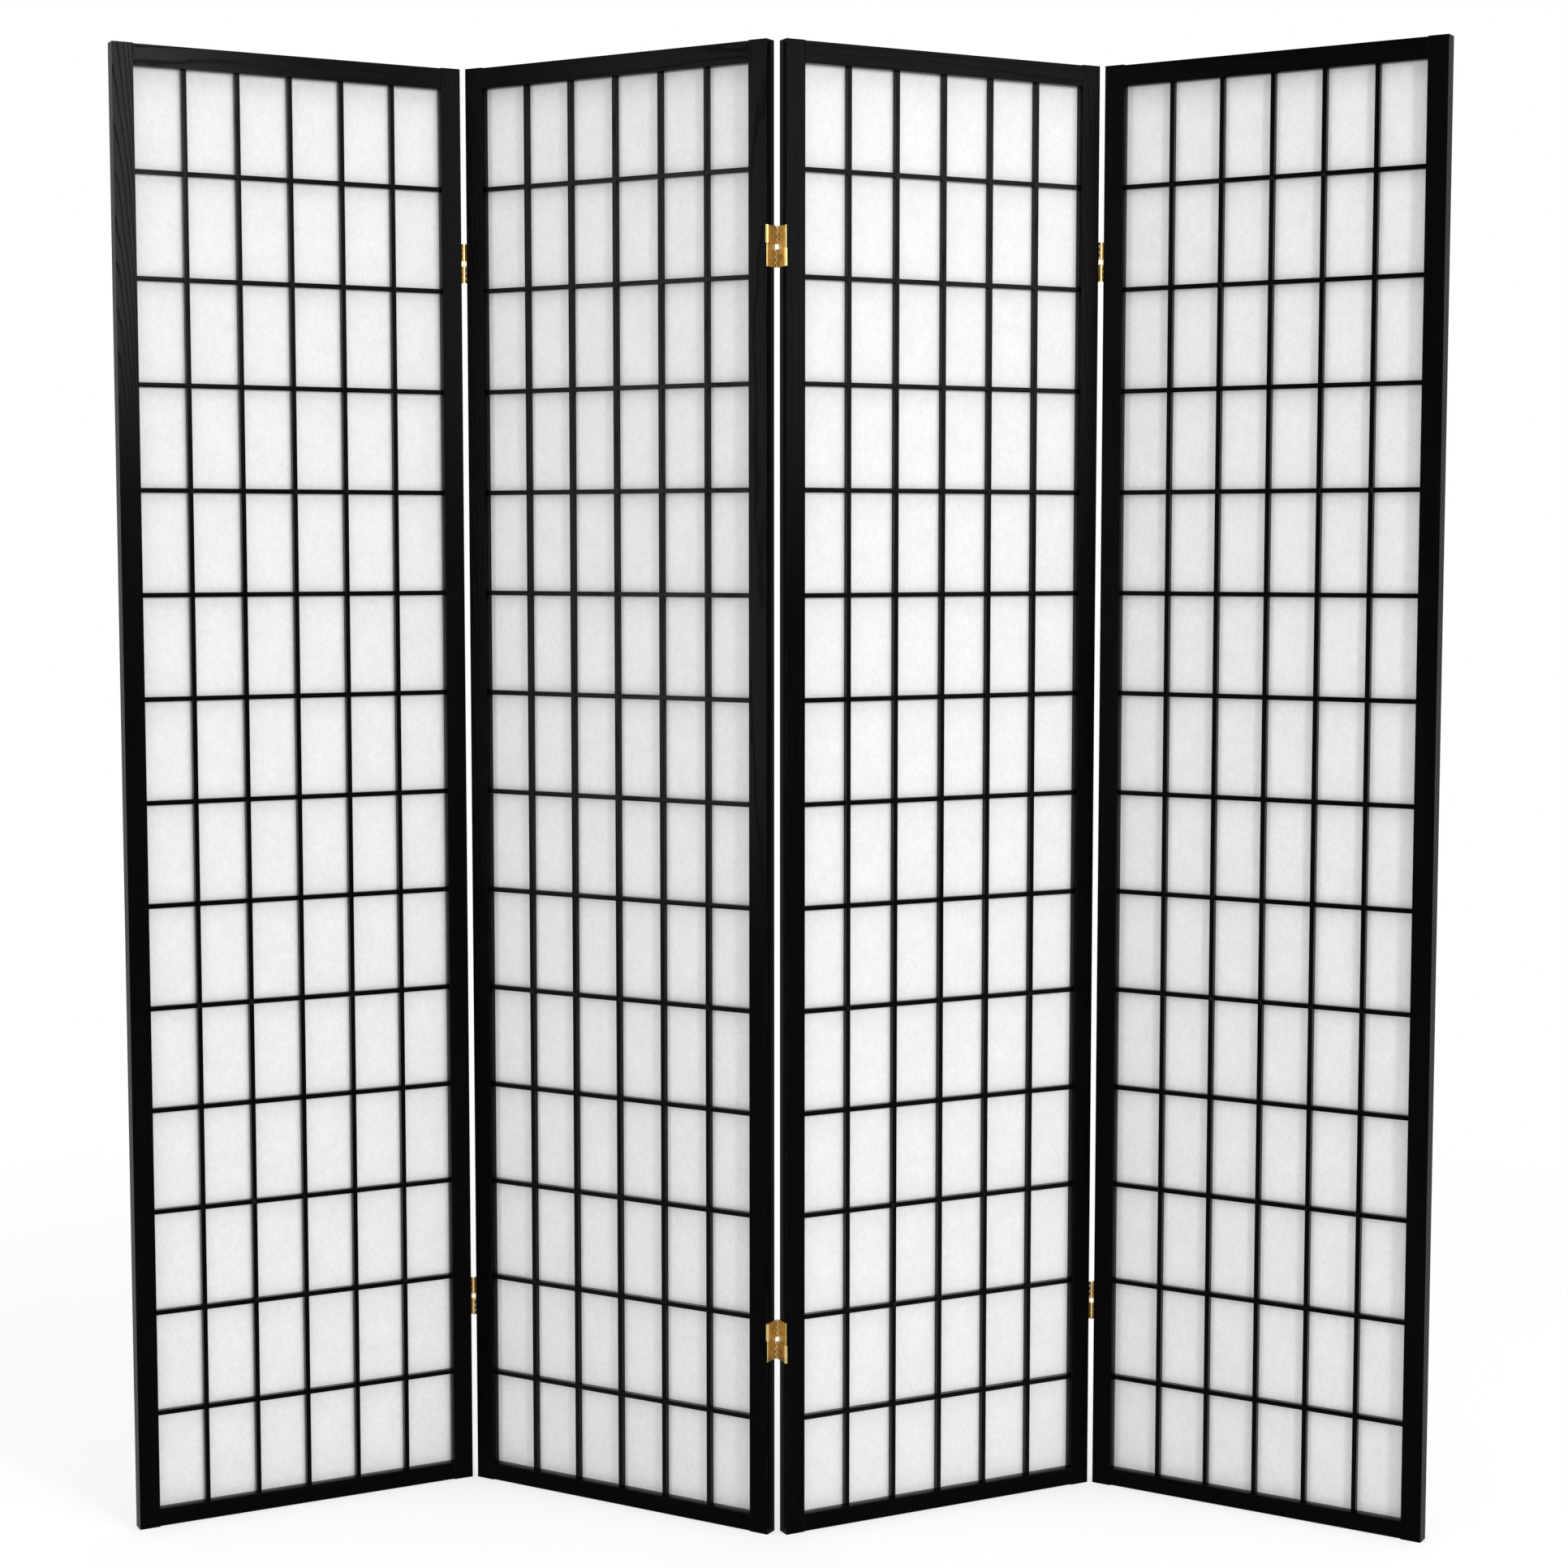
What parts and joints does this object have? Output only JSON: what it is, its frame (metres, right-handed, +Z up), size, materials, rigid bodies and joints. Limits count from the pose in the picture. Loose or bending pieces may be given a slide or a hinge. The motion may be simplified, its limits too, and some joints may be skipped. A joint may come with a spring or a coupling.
{
  "type": "folding shoji screen",
  "caption": "Free-standing folding shoji room divider: black framed panels with a paper-backed lattice, joined by two-way brass hinges.",
  "frame": {"origin": "on the floor, under the middle of the box round the open screen", "axes": "+Z up, +X to the right along the row of panels seen from the front, +Y to the back"},
  "size_m": [1.5692, 0.2338, 1.784],
  "materials": {
    "frame_lacquer": "black satin lacquer over open grain",
    "lattice_lacquer": "black satin lacquer",
    "paper": "white fibre paper, matt",
    "hinge_brass": "plated and lacquered, semi-bright"
  },
  "bodies": {
    "panel_1": {"panel_1_left_stile": "frame_lacquer", "panel_1_right_stile": "frame_lacquer", "panel_1_top_rail": "frame_lacquer", "panel_1_bottom_rail": "frame_lacquer", "panel_1_lattice": "lattice_lacquer", "panel_1_paper": "paper", "left_fold_low_hinge_left_leaf": "hinge_brass", "left_fold_low_hinge_lower_link": "hinge_brass", "left_fold_high_hinge_left_leaf": "hinge_brass", "left_fold_high_hinge_lower_link": "hinge_brass"},
    "panel_2": {"panel_2_left_stile": "frame_lacquer", "panel_2_right_stile": "frame_lacquer", "panel_2_top_rail": "frame_lacquer", "panel_2_bottom_rail": "frame_lacquer", "panel_2_lattice": "lattice_lacquer", "panel_2_paper": "paper", "left_fold_low_hinge_right_leaf": "hinge_brass", "left_fold_low_hinge_upper_link": "hinge_brass", "left_fold_high_hinge_right_leaf": "hinge_brass", "left_fold_high_hinge_upper_link": "hinge_brass", "middle_fold_low_hinge_left_leaf": "hinge_brass", "middle_fold_low_hinge_upper_link": "hinge_brass", "middle_fold_high_hinge_left_leaf": "hinge_brass", "middle_fold_high_hinge_upper_link": "hinge_brass"},
    "panel_3": {"panel_3_left_stile": "frame_lacquer", "panel_3_right_stile": "frame_lacquer", "panel_3_top_rail": "frame_lacquer", "panel_3_bottom_rail": "frame_lacquer", "panel_3_lattice": "lattice_lacquer", "panel_3_paper": "paper", "middle_fold_low_hinge_right_leaf": "hinge_brass", "middle_fold_low_hinge_lower_link": "hinge_brass", "middle_fold_high_hinge_right_leaf": "hinge_brass", "middle_fold_high_hinge_lower_link": "hinge_brass", "right_fold_low_hinge_left_leaf": "hinge_brass", "right_fold_low_hinge_lower_link": "hinge_brass", "right_fold_high_hinge_left_leaf": "hinge_brass", "right_fold_high_hinge_lower_link": "hinge_brass"},
    "panel_4": {"panel_4_left_stile": "frame_lacquer", "panel_4_right_stile": "frame_lacquer", "panel_4_top_rail": "frame_lacquer", "panel_4_bottom_rail": "frame_lacquer", "panel_4_lattice": "lattice_lacquer", "panel_4_paper": "paper", "right_fold_low_hinge_right_leaf": "hinge_brass", "right_fold_low_hinge_upper_link": "hinge_brass", "right_fold_high_hinge_right_leaf": "hinge_brass", "right_fold_high_hinge_upper_link": "hinge_brass"}
  },
  "joints": [
    {"name": "left_fold", "type": "hinge", "parent": "panel_2", "child": "panel_1", "pos_m": [-0.39477, 0.09353, 0], "axis": [0, 0, 1], "range_deg": [-57.65, 121.35]},
    {"name": "middle_fold", "type": "hinge", "parent": "panel_2", "child": "panel_3", "pos_m": [0.00059, -0.09453, 0], "axis": [0, 0, 1], "range_deg": [-57.05, 121.95]},
    {"name": "right_fold", "type": "hinge", "parent": "panel_3", "child": "panel_4", "pos_m": [0.39545, 0.09456, 0], "axis": [0, 0, -1], "range_deg": [-58, 121]}
  ]
}
